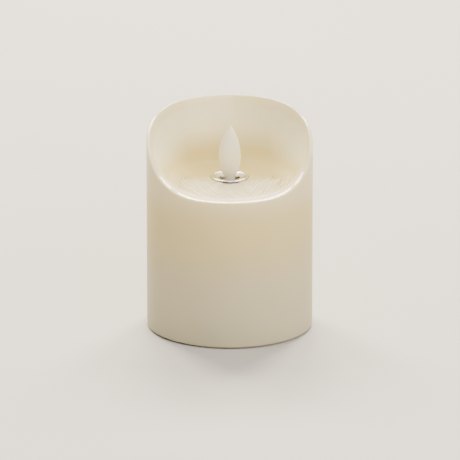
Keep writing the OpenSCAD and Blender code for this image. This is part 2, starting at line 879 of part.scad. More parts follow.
module switch_frame() {
    frame_x = switch_screw_x + 1.4;
    color("#b4b8bc")
    difference() {
        box_between(
            [-frame_x, switch_y - pocket_y, switch_floor],
            [frame_x, switch_y + pocket_y, switch_floor + frame_t]
        );
        box_between([-4, switch_y - 1.7, switch_floor - 1], [4, switch_y + 1.7, switch_floor + 1]);
        for (x = [-1, 1]) translate([x * switch_screw_x, switch_y, switch_floor - 1])
            cylinder(r = small_shank_r + 0.1, h = 2, $fn = 32);
    }
}

module switch_body() {
    color("#2a2a2c") {
        difference() {
            translate([-switch_size[0] / 2, switch_y - switch_size[1] / 2, switch_body_z]) cube(switch_size);
            box_between(
                [-4, switch_y - 1.7, switch_body_z - 1],
                [4, switch_y + 1.7, switch_body_z + 2.6]
            );
        }
        for (x = switch_pins) translate([x - 0.25, switch_y - 0.25, switch_body_z + switch_size[2] - eps])
            cube([0.5, 0.5, 1 + eps]);
    }
}

module switch_knob() {
    knob = [3, 2.6];
    shoe = [3.6, 3.2];
    color("#1f1f21")
    translate([0, switch_y, 0]) {
        translate([-knob[0] / 2, -knob[1] / 2, 1.6]) cube([knob[0], knob[1], 5.2]);
        translate([-shoe[0] / 2, -shoe[1] / 2, switch_body_z + 0.4]) cube([shoe[0], shoe[1], 1.8]);
    }
}

module switch_screws() {
    color("#8e9196")
    for (x = [-1, 1]) translate([x * switch_screw_x, switch_y, switch_floor + frame_t + small_head_t])
        mirror([0, 0, 1]) screw(small_shank_r, 2.6, small_head_r, small_head_t);
}

wax_shell();
flame_cup();
pivot_wire();
flame_paddle();
flame_arm();
drive_magnet();
housing_front();
housing_rear();
column_screws();
housing_screws();
flame_led();
led_wires();
control_board();
control_chip();
drive_transistors();
board_capacitor();
timer_crystal();
board_resistors();
board_screws();
coil_bobbin();
drive_coil();
coil_leads();
base_chassis();
base_cover();
base_screws();
rubber_feet();
battery_front();
battery_middle();
battery_rear();
positive_terminal();
left_bridge_plate();
right_bridge_plate();
negative_terminal();
contact_springs();
wire_red();
wire_black();
switch_wires();
battery_door();
switch_frame();
switch_body();
switch_knob();
switch_screws();
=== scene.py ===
from math import atan2, cos, hypot, pi, radians, sin, sqrt

import bpy
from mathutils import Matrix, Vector, noise


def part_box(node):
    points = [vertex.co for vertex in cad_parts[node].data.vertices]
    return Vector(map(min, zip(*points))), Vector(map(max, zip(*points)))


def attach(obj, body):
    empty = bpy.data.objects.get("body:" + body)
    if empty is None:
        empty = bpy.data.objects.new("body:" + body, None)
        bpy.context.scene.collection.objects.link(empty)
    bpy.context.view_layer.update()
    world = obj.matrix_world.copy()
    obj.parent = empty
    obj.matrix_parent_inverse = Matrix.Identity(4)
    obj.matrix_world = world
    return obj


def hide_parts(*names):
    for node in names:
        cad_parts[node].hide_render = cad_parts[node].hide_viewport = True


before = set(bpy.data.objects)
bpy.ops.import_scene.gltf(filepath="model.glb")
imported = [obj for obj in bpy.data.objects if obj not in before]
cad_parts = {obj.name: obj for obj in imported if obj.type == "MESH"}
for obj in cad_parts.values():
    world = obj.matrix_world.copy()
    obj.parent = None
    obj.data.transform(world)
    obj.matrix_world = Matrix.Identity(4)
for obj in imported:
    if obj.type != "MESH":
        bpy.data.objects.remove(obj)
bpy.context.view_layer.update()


# ---- Camera ----
# A long lens stands well back and a little above the rim, so that the pillar's sides stay upright.
# It aims just under half of the pillar's height.
MM = 0.001
wax_low, wax_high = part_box("wax_shell")
camera_distance = 2500 * MM
camera_elevation = radians(17.2)
camera_yaw = radians(2.5)
view_width = 207.9 * MM
aim = Vector((0.15 * MM, 0, 44.5 * MM))
level = cos(camera_elevation)
toward_camera = Vector((-sin(camera_yaw) * level, -cos(camera_yaw) * level, sin(camera_elevation)))
bpy.ops.object.camera_add(
    location=aim + camera_distance * toward_camera,
    rotation=(pi / 2 - camera_elevation, 0, -camera_yaw),
)
camera = bpy.context.object
camera.data.sensor_width = 36
camera.data.lens = 36 * camera_distance / view_width
camera.data.clip_end = 20
bpy.context.scene.camera = camera


# ---- Floor and lights ----
# A plain pale floor.  Softboxes stand behind the candle, for the shine on its rim, overhead, at the
# right and in front, so the left side of the wax stays the darker one.
def linear(colour):
    """An sRGB hex colour as the linear colour that a shader takes."""
    parts = [int(colour[i:i + 2], 16) / 255 for i in (1, 3, 5)]
    return [p / 12.92 if p <= 0.04045 else ((p + 0.055) / 1.055) ** 2.4 for p in parts] + [1.0]


def add(material, kind, settings):
    """Adds one node. A setting is a value, another node's output to link, or a ramp's stops."""
    node = material.node_tree.nodes.new("ShaderNode" + kind)
    for key, value in settings.items():
        if key == "stops":
            while len(node.color_ramp.elements) < len(value):
                node.color_ramp.elements.new(0.5)
            for element, (place, colour) in zip(node.color_ramp.elements, value):
                element.position = place
                element.color = linear(colour)
        elif isinstance(value, bpy.types.NodeSocket):
            material.node_tree.links.new(value, node.inputs[key])
        elif isinstance(key, int) or key in node.inputs:
            node.inputs[key].default_value = value
        else:
            setattr(node, key, value)
    return node


def start_material(name):
    """An empty material, and the place on the piece, in metres."""
    material = bpy.data.materials.new(name)
    material.use_nodes = True
    material.node_tree.nodes.clear()
    return material, add(material, "TexCoord", {}).outputs["Object"]


def end_material(material, settings):
    """Closes a material with one Principled shader."""
    shader = add(material, "BsdfPrincipled", settings)
    add(material, "OutputMaterial", {"Surface": shader.outputs[0]})
    return material


def softbox(name, place, width, height, power, colour):
    """A rectangular studio light that faces the candle."""
    bpy.ops.object.light_add(type="AREA", location=place)
    light = bpy.context.object
    light.name = name
    light.rotation_euler = (aim - Vector(place)).to_track_quat("-Z", "Y").to_euler()
    light.data.shape = "RECTANGLE"
    light.data.size = width
    light.data.size_y = height
    light.data.energy = power
    light.data.color = linear(colour)[:3]


bpy.ops.mesh.primitive_plane_add(size=8)
floor = bpy.context.object
floor.name = "studio_floor"
floor_paint, floor_place = start_material("pale_floor_paint")
floor_cloud = add(floor_paint, "TexNoise", {"Vector": floor_place, "Scale": 3.0, "Detail": 3.0})
floor_tone = add(floor_paint, "ValToRGB", {
    "Fac": floor_cloud.outputs[0], "stops": [(0.3, "#c3c1bc"), (0.7, "#c9c7c3")]})
end_material(floor_paint, {"Base Color": floor_tone.outputs[0], "Roughness": 0.6})
floor.data.materials.append(floor_paint)

softbox("rear_softbox", (0, 1.18, 0.98), 0.5, 0.34, 22, "#fff1da")
softbox("left_rear_strip", (-0.47, 0.93, 1.1), 0.35, 1.0, 36, "#fff1da")
softbox("right_rear_strip", (0.47, 0.93, 1.1), 0.35, 1.0, 36, "#fff1da")
softbox("overhead_softbox", (-0.2, -0.2, 1.4), 1.3, 1.3, 15, "#fff8ee")
softbox("right_softbox", (1.1, -0.9, 0.8), 0.8, 1.0, 16, "#fff4e6")
softbox("front_softbox", (0.4, -1.87, 1.1), 1.4, 0.8, 22, "#fffaf4")
world = bpy.data.worlds.new("studio")
bpy.context.scene.world = world
world.use_nodes = True
world.node_tree.nodes["Background"].inputs["Color"].default_value = linear("#f2eee6")
world.node_tree.nodes["Background"].inputs["Strength"].default_value = 0.3


# ---- Wax shell ----
# The pillar is cast in ivory paraffin wax around a hollow.  Its top is scooped out to a low lip in
# front, and the crest of the rim is melted round.
pillar_r = wax_high.x
rim_back = wax_high.z
rim_mid = 83 * MM
rim_front = 69 * MM
rim_turn = 7 * MM
crest_r = pillar_r - 1.5 * MM
round_in = 2.5 * MM
round_drop = 0.8 * MM
cup_low, cup_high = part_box("flame_cup")
bowl_floor = cup_high.z - 0.6 * MM
cavity_top = cup_low.z
wax_hole_r = 7.7 * MM
cavity_r = 33 * MM
blend_from = 50 * MM


def turned(name, outline, steps):
    """A turned piece: its outline, as (radius, height) points, is extruded and spun about Z."""
    bpy.ops.object.select_all(action="DESELECT")
    bpy.ops.mesh.primitive_plane_add(size=MM)
    piece = bpy.context.object
    piece.name = piece.data.name = name
    bpy.ops.object.mode_set(mode="EDIT")
    bpy.ops.mesh.merge(type="CENTER")
    bpy.ops.transform.translate(value=(outline[0][0], 0, outline[0][1]))
    for (r, z), (next_r, next_z) in zip(outline, outline[1:]):
        bpy.ops.mesh.extrude_vertices_move(TRANSFORM_OT_translate={"value": (next_r - r, 0, next_z - z)})
    bpy.ops.mesh.select_all(action="SELECT")
    bpy.ops.mesh.spin(steps=steps, angle=2 * pi, center=(0, 0, 0), axis=(0, 0, 1))
    bpy.ops.mesh.select_all(action="SELECT")
    bpy.ops.mesh.remove_doubles(threshold=0.001 * MM)
    bpy.ops.mesh.normals_make_consistent(inside=False)
    bpy.ops.object.mode_set(mode="OBJECT")
    return piece


def finish_piece(piece, material, slot, body, *nodes, smooth=40):
    """Shades a finished piece, and ties it to its material, body and CAD nodes; its slot is not used."""
    bpy.ops.object.select_all(action="DESELECT")
    piece.select_set(True)
    bpy.context.view_layer.objects.active = piece
    bpy.ops.object.shade_smooth_by_angle(angle=radians(smooth))
    piece.data.materials.clear()
    piece.data.materials.append(material)
    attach(piece, body)
    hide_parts(*nodes)


def rim_height(y):
    """The rim's S-curve from the low lip in front to the high back."""
    if y > -rim_turn:
        return rim_mid + (rim_back - rim_mid) * sin(pi / 2 * (y + rim_turn) / (pillar_r + rim_turn))
    return rim_mid - (rim_mid - rim_front) * sin(pi / 2 * (-rim_turn - y) / (pillar_r - rim_turn))


def scooped(r, angle):
    """Height of the wax's top at a place: bowl, crest and rounded shoulder, melted together."""
    rim = rim_height(pillar_r * sin(angle))
    over = min(max(r - pillar_r + round_in, 0), round_in) / round_in
    shoulder = rim - round_drop + round_drop * sqrt(1 - over ** 2)
    bowl = bowl_floor + (rim - bowl_floor) * (r / crest_r) ** 4
    melt = 0.9 * MM * min(1, r / crest_r) ** 6
    near = max(melt - abs(bowl - shoulder), 0) / melt
    return min(bowl, shoulder) - near ** 2 * melt / 4


bowl_rings = [wax_hole_r + (pillar_r - round_in - wax_hole_r) * i / 32 for i in range(33)]
shoulder_rings = [pillar_r - round_in + round_in * sin(pi / 2 * i / 14) for i in range(1, 15)]
edge_r = 1 * MM
wax_outline = [(wax_hole_r, cavity_top)]
wax_outline += [(r, rim_back) for r in bowl_rings + shoulder_rings]
wax_outline += [(pillar_r, blend_from + (rim_back - blend_from) * (1 - i / 9)) for i in range(1, 10)]
wax_outline += [(pillar_r, 30 * MM), (pillar_r, 12 * MM)]
wax_outline += [
    (pillar_r - edge_r * (1 - cos(pi / 2 * i / 5)), wax_low.z + edge_r * (1 - sin(pi / 2 * i / 5)))
    for i in range(6)
]
wax_outline += [(cavity_r + 0.4 * MM, wax_low.z), (cavity_r, wax_low.z + 0.4 * MM)]
wax_outline += [(cavity_r, cavity_top), (wax_hole_r, cavity_top)]
wax = turned("wax_pillar", wax_outline, 240)
for vertex in wax.data.vertices:
    x, y, z = vertex.co
    r = hypot(x, y)
    angle = atan2(y, x)
    ripple = noise.noise(Vector((x, y, 0.6 * z)) * 55) - 1
    if z > rim_back - 0.01 * MM:
        vertex.co.z = scooped(r, angle) + 0.12 * MM * ripple * min(1, max(0, r - 12 * MM) / (12 * MM))
    elif r > pillar_r - 0.01 * MM and z > blend_from:
        edge = scooped(pillar_r, angle)
        vertex.co.z = blend_from + (z - blend_from) * (edge - blend_from) / (rim_back - blend_from)


def wax_painted_light_and_shade(material, place, height, depth, reach, inside):
    """Painted light and shade, by place.  Outside, the wall is painted darker and greyer low down, as
    painted shade, and paler at the top, as painted light where the wall is thin, with a warm band at
    half its height.
    Within, a darker tan band low on the bowl's wall is painted shade, set lower behind the flame; the
    rim and the sides are painted paler, as painted light; and a dark line round the cup is a painted
    shadow."""
    # Outside: painted shade, darker and greyer towards the bottom, and painted light, paler at the top.
    share = add(material, "MapRange", {"Value": height, "From Min": 0.0, "From Max": rim_back})
    outside_painted_shading = add(material, "ValToRGB", {"Fac": share.outputs[0], "stops": [
        (0.0, "#c1ba9c"), (0.3, "#cbc09f"), (0.45, "#d7c591"), (0.6, "#e1cd8f"), (0.68, "#eadaad"),
        (1.0, "#f3ebc8")]})
    outside_painted_shading.color_ramp.interpolation = "B_SPLINE"
    # Within: painted shade in a darker tan band low on the bowl's wall, set lower behind the flame, and
    # painted light, paler at the rim and towards the sides.
    behind = add(material, "MapRange", {
        "Value": depth, "From Min": -10 * MM, "From Max": 8 * MM, "To Min": 0.0, "To Max": 0.045})
    across = add(material, "SeparateXYZ", {"Vector": place}).outputs["X"]
    aside = add(material, "Math", {"operation": "ABSOLUTE", 0: across})
    outward = add(material, "MapRange", {
        "Value": aside.outputs[0], "From Min": 18 * MM, "From Max": 34 * MM,
        "To Min": 0.0, "To Max": 0.07})
    rear_share = add(material, "Math", {0: share.outputs[0], 1: behind.outputs[0]})
    bowl_share = add(material, "Math", {0: rear_share.outputs[0], 1: outward.outputs[0]})
    within_painted_shading = add(material, "ValToRGB", {"Fac": bowl_share.outputs[0], "stops": [
        (0.7, "#efe4bc"), (0.74, "#c2af66"), (0.82, "#dac57b"), (0.9, "#f4ecbc"), (1.0, "#fafbe0")]})
    tone = add(material, "MixRGB", {
        "Fac": inside, "Color1": outside_painted_shading.outputs[0], "Color2": within_painted_shading.outputs[0]})
    # A dark line round the cup: painted shadow in the gap where the cup sits in the wax.
    seat_shadow = add(material, "MapRange", {
        "Value": reach, "From Min": cup_high.x, "From Max": cup_high.x + 0.8 * MM, "To Min": 0.25})
    seat_shadowed = add(material, "HueSaturation", {"Color": tone.outputs[0], "Value": seat_shadow.outputs[0]})
    return seat_shadowed.outputs[0]


def tool_scratches(material, flat):
    """Long, fine, slanted lines about 1 mm apart, which change their slant at a fold, as strokes from
    two sides do."""
    from_fold = add(material, "VectorMath", {"operation": "SUBTRACT", 0: flat, 1: (8 * MM, 0, 0)})
    folded = add(material, "VectorMath", {"operation": "ABSOLUTE", 0: from_fold.outputs[0]})
    slanted = add(material, "VectorRotate", {
        "rotation_type": "Z_AXIS", "Vector": folded.outputs[0], "Angle": radians(-19)})
    drawn_out = add(material, "VectorMath", {
        "operation": "MULTIPLY", 0: slanted.outputs[0], 1: (1 / (1.11 * MM), 1 / (16.7 * MM), 0)})
    lines = add(material, "TexNoise", {"Vector": drawn_out.outputs[0], "Scale": 1.0, "Detail": 3.0})
    return lines.outputs[0]


def trued_floor(material, height, depth, inside):
    """How far a place is on the front of the bowl's floor, which a tool has trued."""
    low_down = add(material, "MapRange", {
        "Value": height, "From Min": bowl_floor + 4 * MM, "From Max": bowl_floor + 1 * MM})
    in_front = add(material, "MapRange", {"Value": depth, "From Min": 4 * MM, "From Max": -4 * MM})
    front_floor = add(material, "Math", {
        "operation": "MULTIPLY", 0: in_front.outputs[0], 1: low_down.outputs[0]})
    trued = add(material, "Math", {"operation": "MULTIPLY", 0: front_floor.outputs[0], 1: inside})
    return trued.outputs[0]


def wax_polish(material, reach, trued):
    """The crest was melted smooth and shines most; the trued floor shines a little less."""
    to_crest = add(material, "MapRange", {
        "Value": reach, "From Min": 0.93 * crest_r, "From Max": crest_r})
    off_wall = add(material, "MapRange", {
        "Value": reach, "From Min": pillar_r - 0.05 * MM, "From Max": pillar_r - 0.3 * MM})
    melted_rim = add(material, "Math", {
        "operation": "MULTIPLY", 0: to_crest.outputs[0], 1: off_wall.outputs[0]})
    rubbed = add(material, "Math", {"operation": "MULTIPLY", 0: trued, 1: 0.85})
    polish = add(material, "Math", {
        "operation": "MAXIMUM", 0: melted_rim.outputs[0], 1: rubbed.outputs[0]})
    return polish.outputs[0]


def wax_relief(material, place, scratches, trued):
    """The scratches, crumbs of wax under 1 mm beside the cup, and the skin's grain, which is drawn
    coarser than it is so that it shows."""
    streaks = add(material, "Math", {"operation": "MULTIPLY", 0: scratches, 1: trued})
    carved = add(material, "Bump", {"Height": streaks.outputs[0], "Strength": 1.0, "Distance": 0.9 * MM})
    to_crumbs = add(material, "VectorMath", {
        "operation": "DISTANCE", 0: place, 1: (-11.5 * MM, 2 * MM, bowl_floor)}).outputs["Value"]
    crumbly = add(material, "MapRange", {"Value": to_crumbs, "From Min": 5 * MM, "From Max": 2 * MM})
    crumbs = add(material, "TexNoise", {"Vector": place, "Scale": 1 / (0.77 * MM), "Detail": 2.0})
    flecks = add(material, "Math", {
        "operation": "MULTIPLY", 0: crumbs.outputs[0], 1: crumbly.outputs[0]})
    flecked = add(material, "Bump", {
        "Height": flecks.outputs[0], "Strength": 1.0, "Distance": 0.6 * MM, "Normal": carved.outputs[0]})
    skin = add(material, "TexNoise", {"Vector": place, "Scale": 1 / (1.11 * MM), "Detail": 3.0})
    skinned = add(material, "Bump", {
        "Height": skin.outputs[0], "Strength": 0.04, "Distance": 0.1 * MM, "Normal": flecked.outputs[0]})
    return skinned.outputs[0]


def paraffin_wax():
    """Paraffin, cast and hand-melted: light sinks in and warms it, the skin has a waxy gloss with soft
    clouds, the low part of the bowl is dull, its floor keeps the scratches of a tool, and its colour
    carries painted light and shade."""
    material, place = start_material("paraffin_wax")
    height = add(material, "SeparateXYZ", {"Vector": place}).outputs["Z"]
    depth = add(material, "SeparateXYZ", {"Vector": place}).outputs["Y"]
    flat = add(material, "VectorMath", {"operation": "MULTIPLY", 0: place, 1: (1, 1, 0)}).outputs[0]
    reach = add(material, "VectorMath", {"operation": "LENGTH", 0: flat}).outputs["Value"]
    inside = add(material, "MapRange", {
        "Value": reach, "From Min": 0.98 * crest_r, "From Max": 0.86 * crest_r}).outputs[0]
    scratches = tool_scratches(material, flat)
    trued = trued_floor(material, height, depth, inside)

    shaded_wax_colour = wax_painted_light_and_shade(material, place, height, depth, reach, inside)
    cloud = add(material, "TexNoise", {"Vector": place, "Scale": 1 / (16.7 * MM), "Detail": 3.0})
    milky = add(material, "MapRange", {"Value": cloud.outputs[0], "To Min": 0.96, "To Max": 1.04})
    clouded = add(material, "HueSaturation", {"Color": shaded_wax_colour, "Value": milky.outputs[0]})
    # The trued floor's colour is darker along the scratches' grooves and a little lighter on their
    # ridges: painted shade and painted highlight.
    groove_shade_and_highlight = add(material, "MapRange", {
        "Value": scratches, "From Min": 0.35, "From Max": 0.65, "To Min": -0.14, "To Max": 0.06})
    groove_shaded = add(material, "Math", {
        "operation": "MULTIPLY_ADD", 0: groove_shade_and_highlight.outputs[0], 1: trued, 2: 1.0})
    colour = add(material, "HueSaturation", {"Color": clouded.outputs[0], "Value": groove_shaded.outputs[0]})

    polish = wax_polish(material, reach, trued)
    melt_blush = add(material, "MapRange", {
        "Value": height, "From Min": bowl_floor + 15 * MM, "From Max": bowl_floor + 8 * MM,
        "To Min": 0.3, "To Max": 0.55})
    dulled = add(material, "Math", {
        "operation": "MULTIPLY_ADD", 0: cloud.outputs[0], 1: 0.12, 2: melt_blush.outputs[0]})
    gloss = add(material, "MapRange", {"Value": polish, "To Min": dulled.outputs[0], "To Max": 0.15})
    sheen = add(material, "MapRange", {"Value": polish, "To Min": 0.05, "To Max": 0.5})
    return end_material(material, {
        "Base Color": colour.outputs[0], "Roughness": gloss.outputs[0], "IOR": 1.44,
        "Specular IOR Level": 0.4, "Subsurface Weight": 0.4, "Subsurface Radius": (1.0, 0.62, 0.34),
        "Subsurface Scale": 6 * MM, "Coat Weight": sheen.outputs[0], "Coat Roughness": 0.06,
        "Normal": wax_relief(material, place, scratches, trued)})


finish_piece(wax, paraffin_wax(), "wax", "candle", "wax_shell")


# ---- Flame cup ----
# A pressed cup, plated bright, drops into the hole in the wax and hangs on its rolled rim.  The slot
# in its dish lets the flame swing.
cup_r = cup_high.x
cup_top = cup_high.z
dish_r = 7.6 * MM
dish_drop = 1.2 * MM
skirt_r = 7.5 * MM
cup_wall = 0.6 * MM
slot_len = 9.5 * MM
slot_w = 5.4 * MM
dish_sphere_r = (dish_r ** 2 + dish_drop ** 2) / (2 * dish_drop)


def dish_height(r):
    """The dish is part of a sphere that meets the rim."""
    return cup_top - dish_drop + dish_sphere_r - sqrt(dish_sphere_r ** 2 - r ** 2)


roll_r = (cup_r - dish_r) / 2
cup_outline = [(dish_r * i / 16, dish_height(dish_r * i / 16)) for i in range(17)]
cup_outline += [
    (dish_r + roll_r - roll_r * cos(pi * i / 10), cup_top - 0.3 * MM + 0.3 * MM * sin(pi * i / 10))
    for i in range(1, 11)
]
cup_outline += [(cup_r, bowl_floor + 0.1 * MM), (cup_r - 0.1 * MM, bowl_floor), (skirt_r, bowl_floor)]
cup_outline += [(skirt_r, cavity_top), (skirt_r - cup_wall, cavity_top)]
cup_outline += [
    ((skirt_r - cup_wall) * i / 16, dish_height((skirt_r - cup_wall) * i / 16) - cup_wall)
    for i in range(16, -1, -1)
]
cup = turned("chrome_cup", cup_outline, 128)

bpy.ops.mesh.primitive_cylinder_add(
    vertices=64, radius=slot_w / 2, depth=8 * MM, location=(0, 0, cup_top - 2 * MM))
cutter = bpy.context.object
bpy.ops.object.transform_apply()
for vertex in cutter.data.vertices:
    vertex.co.x += (slot_len - slot_w) / 2 * (1 if vertex.co.x > 0 else -1)
slot_cut = cup.modifiers.new("slot", "BOOLEAN")
slot_cut.operation = "DIFFERENCE"
slot_cut.object = cutter
slot_cut.solver = "EXACT"
bpy.context.view_layer.objects.active = cup
bpy.ops.object.modifier_apply(modifier="slot")
bpy.data.objects.remove(cutter)


def chrome_plate():
    """Chrome over a pressed cup: a mirror that is a little hazy where it was wiped."""
    material, place = start_material("chrome_plate")
    wipe = add(material, "TexNoise", {"Vector": place, "Scale": 1 / (2.5 * MM), "Detail": 4.0})
    haze = add(material, "MapRange", {"Value": wipe.outputs[0], "To Min": 0.05, "To Max": 0.2})
    dents = add(material, "Bump", {"Height": wipe.outputs[0], "Strength": 0.08, "Distance": 0.1 * MM})
    return end_material(material, {
        "Base Color": linear("#ececee"), "Metallic": 1.0, "Roughness": haze.outputs[0],
        "Normal": dents.outputs[0]})


finish_piece(cup, chrome_plate(), "chrome_cup", "candle", "flame_cup", smooth=35)


# ---- Flame ----
# A flat, frosted plastic teardrop whose tip bends a little to the right.  It is pressed onto a peg of
# the arm, and the magnet at the arm's foot keeps it upright and swings it.
flame_low, flame_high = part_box("flame_paddle")
flame_tip = flame_high.z
flame_belly = 78.6 * MM
belly_r = -flame_low.x
belly_drop = 9.6 * MM
neck_r = 2.3 * MM
flame_flat = flame_high.y / belly_r
tip_bend = 0.7 * MM


def flame_radius(z):
    """A long ogive over the belly and half an oval under it, down to the neck."""
    if z > flame_belly:
        return belly_r * (1 - (1 - (flame_tip - z) / (flame_tip - flame_belly)) ** 2.1)
    return max(neck_r, belly_r * sqrt(max(0, 1 - ((flame_belly - z) / belly_drop) ** 2)))


flame_heights = [flame_low.z + (flame_belly - flame_low.z) * i / 24 for i in range(25)]
flame_heights += [flame_belly + (flame_tip - flame_belly) * sin(pi / 2 * i / 26) for i in range(1, 26)]
flame_outline = [(0, flame_low.z)] + [(flame_radius(z), z) for z in flame_heights] + [(0, flame_tip)]
flame = turned("frosted_flame", flame_outline, 72)
for vertex in flame.data.vertices:
    rise = max(0, vertex.co.z - flame_belly) / (flame_tip - flame_belly)
    vertex.co.y *= flame_flat
    vertex.co.x += tip_bend * rise ** 2


def frosted_plastic():
    """Soft translucent plastic with a spark-eroded skin: no shine, and light spreads inside it.  Its
    colour greys towards the neck as painted shade over the dark slot.  The skin's grain is drawn coarser
    than it is."""
    material, place = start_material("frosted_flame_plastic")
    height = add(material, "SeparateXYZ", {"Vector": place}).outputs["Z"]
    share = add(material, "MapRange", {"Value": height, "From Min": flame_low.z, "From Max": flame_tip})
    # Darker and greyer towards the neck: painted shade.
    tone = add(material, "ValToRGB", {"Fac": share.outputs[0], "stops": [
        (0.05, "#d6cdb4"), (0.28, "#f0e8cb"), (0.5, "#fdf8da"), (1.0, "#fdf9e2")]})
    frost = add(material, "TexNoise", {"Vector": place, "Scale": 1 / (0.4 * MM), "Detail": 2.0})
    skin = add(material, "Bump", {"Height": frost.outputs[0], "Strength": 0.15, "Distance": 0.05 * MM})
    return end_material(material, {
        "Base Color": tone.outputs[0], "Roughness": 0.55, "IOR": 1.46,
        "Subsurface Weight": 0.6, "Subsurface Radius": (1.0, 0.75, 0.5), "Subsurface Scale": 3 * MM,
        "Normal": skin.outputs[0]})


finish_piece(flame, frosted_plastic(), "flame_plastic", "flame", "flame_paddle", smooth=60)


def paint(material, *nodes):
    """A CAD node that keeps its own mesh takes its real finish."""
    for node in nodes:
        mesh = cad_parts[node].data
        mesh.materials.clear()
        mesh.materials.append(material)


def grained_plastic(name, colour, grain, gloss=0.42):
    """Injection-moulded plastic: even colour, faint flow clouds, and a spark-eroded grain in mm, which
    is drawn coarser than it is so that it shows."""
    material, place = start_material(name)
    flow = add(material, "TexNoise", {"Vector": place, "Scale": 1 / (28.6 * MM), "Detail": 2.0})
    shade = add(material, "MapRange", {"Value": flow.outputs[0], "To Min": 0.95, "To Max": 1.05})
    tone = add(material, "HueSaturation", {"Color": linear(colour), "Value": shade.outputs[0]})
    pits = add(material, "TexNoise", {"Vector": place, "Scale": 1 / (grain * MM), "Detail": 2.0})
    rough = add(material, "MapRange", {
        "Value": pits.outputs[0], "To Min": gloss - 0.06, "To Max": gloss + 0.08})
    skin = add(material, "Bump", {"Height": pits.outputs[0], "Strength": 0.2, "Distance": 0.03 * MM})
    return end_material(material, {
        "Base Color": tone.outputs[0], "Roughness": rough.outputs[0], "Normal": skin.outputs[0]})


def worked_metal(name, colour, gloss, grain, depth=0.1):
    """Bare or plated metal with an uneven gloss.  Its lines or its grain have these sizes in mm along X,
    Y and Z, coarser than they are so that they show."""
    material, place = start_material(name)
    per_grain = [1 / (size * MM) for size in grain]
    lines = add(material, "VectorMath", {"operation": "MULTIPLY", 0: place, 1: per_grain}).outputs[0]
    drawn = add(material, "TexNoise", {"Vector": lines, "Scale": 1.0, "Detail": 3.0})
    rough = add(material, "MapRange", {
        "Value": drawn.outputs[0], "To Min": gloss - 0.08, "To Max": gloss + 0.12})
    skin = add(material, "Bump", {"Height": drawn.outputs[0], "Strength": depth, "Distance": 0.02 * MM})
    return end_material(material, {
        "Base Color": linear(colour), "Metallic": 1.0, "Roughness": rough.outputs[0],
        "Normal": skin.outputs[0]})


# The arm is moulded in natural plastic and carries the flame on its peg.  Its foot holds a pressed-in
# nickel-plated disc magnet.
paint(grained_plastic("natural_acetal", "#d6d1c2", 0.4), "flame_arm")
paint(worked_metal("nickel_plated_magnet", "#b9b9b6", 0.22, (2.5, 2.5, 0.4)), "drive_magnet")


# ---- Housing, pivot wire and screws ----
# Two moulded halves meet on the plane through the slot.  The drawn wire lies in notches of their tops,
# and zinc-plated pan-head screws close the column and hold the drum on the deck.
housing_plastic = grained_plastic("off_white_abs", "#e0ddd3", 0.5)
zinc_plate = worked_metal("zinc_plated_steel", "#a9abad", 0.32, (0.67, 0.67, 0.67), 0.15)
paint(housing_plastic, "housing_front", "housing_rear")
paint(worked_metal("drawn_steel_wire", "#b8b9ba", 0.25, (5, 0.4, 0.4)), "pivot_wire")
paint(zinc_plate, "column_screws", "housing_screws")


# ---- LED and its wires ----
# A 3 mm lamp with a clear, faintly yellow epoxy lens leans towards the flame.  Its two insulated wires
# run down inside the drum to the board.
def epoxy_lens():
    """Clear epoxy over a phosphor: a yellow tint, high gloss, light passes through."""
    material, place = start_material("warm_white_epoxy")
    phosphor = add(material, "TexNoise", {"Vector": place, "Scale": 1 / (2 * MM), "Detail": 1.0})
    tone = add(material, "ValToRGB", {
        "Fac": phosphor.outputs[0], "stops": [(0.3, "#efd68a"), (0.7, "#f6e6ae")]})
    return end_material(material, {
        "Base Color": tone.outputs[0], "Roughness": 0.06, "IOR": 1.54, "Transmission Weight": 0.6})


def wire_insulation(name, colour):
    """PVC insulation: soft sheen with fine draw lines."""
    material, place = start_material(name)
    draw = add(material, "TexNoise", {"Vector": place, "Scale": 1 / (0.67 * MM), "Detail": 1.0})
    rough = add(material, "MapRange", {"Value": draw.outputs[0], "To Min": 0.35, "To Max": 0.5})
    return end_material(material, {"Base Color": linear(colour), "Roughness": rough.outputs[0]})


def lamp_wire_insulation():
    """The lamp's pair: the front wire is red and the rear one is white."""
    material, place = start_material("lamp_wire_insulation")
    depth = add(material, "SeparateXYZ", {"Vector": place}).outputs["Y"]
    side = add(material, "Math", {"operation": "GREATER_THAN", 0: depth, 1: 0.0})
    tone = add(material, "ValToRGB", {
        "Fac": side.outputs[0], "stops": [(0.3, "#b5392e"), (0.7, "#e4e1da")]})
    return end_material(material, {"Base Color": tone.outputs[0], "Roughness": 0.42})


paint(epoxy_lens(), "flame_led")
paint(lamp_wire_insulation(), "led_wires")


# ---- Control board, what is soldered on it, and the coil ----
# A round fibreglass board under green solder mask carries a chip under a resin blob, two transistors,
# a capacitor, the timer's crystal and two resistors.  An enamelled-copper coil stands on its middle.
def solder_mask():
    """Green mask over fibreglass: gloss, and paler tracks where copper lies below."""
    material, place = start_material("green_solder_mask")
    tracks = add(material, "TexVoronoi", {
        "Vector": place, "Scale": 1 / (3.85 * MM), "feature": "DISTANCE_TO_EDGE"})
    copper_below = add(material, "ValToRGB", {"Fac": tracks.outputs[0], "stops": [
        (0.05, "#2f7a4a"), (0.12, "#1f5a35"), (1.0, "#1c5431")]})
    return end_material(material, {"Base Color": copper_below.outputs[0], "Roughness": 0.3})


def resistor_lacquer():
    """Tan lacquer with painted colour bands round the body."""
    material, place = start_material("resistor_lacquer")
    bands = add(material, "TexWave", {
        "Vector": place, "Scale": 1 / (3.85 * MM), "bands_direction": "DIAGONAL"})
    tone = add(material, "ValToRGB", {"Fac": bands.outputs[0], "stops": [
        (0.15, "#6e3a22"), (0.3, "#c8a878"), (1.0, "#cbb085")]})
    return end_material(material, {"Base Color": tone.outputs[0], "Roughness": 0.35})


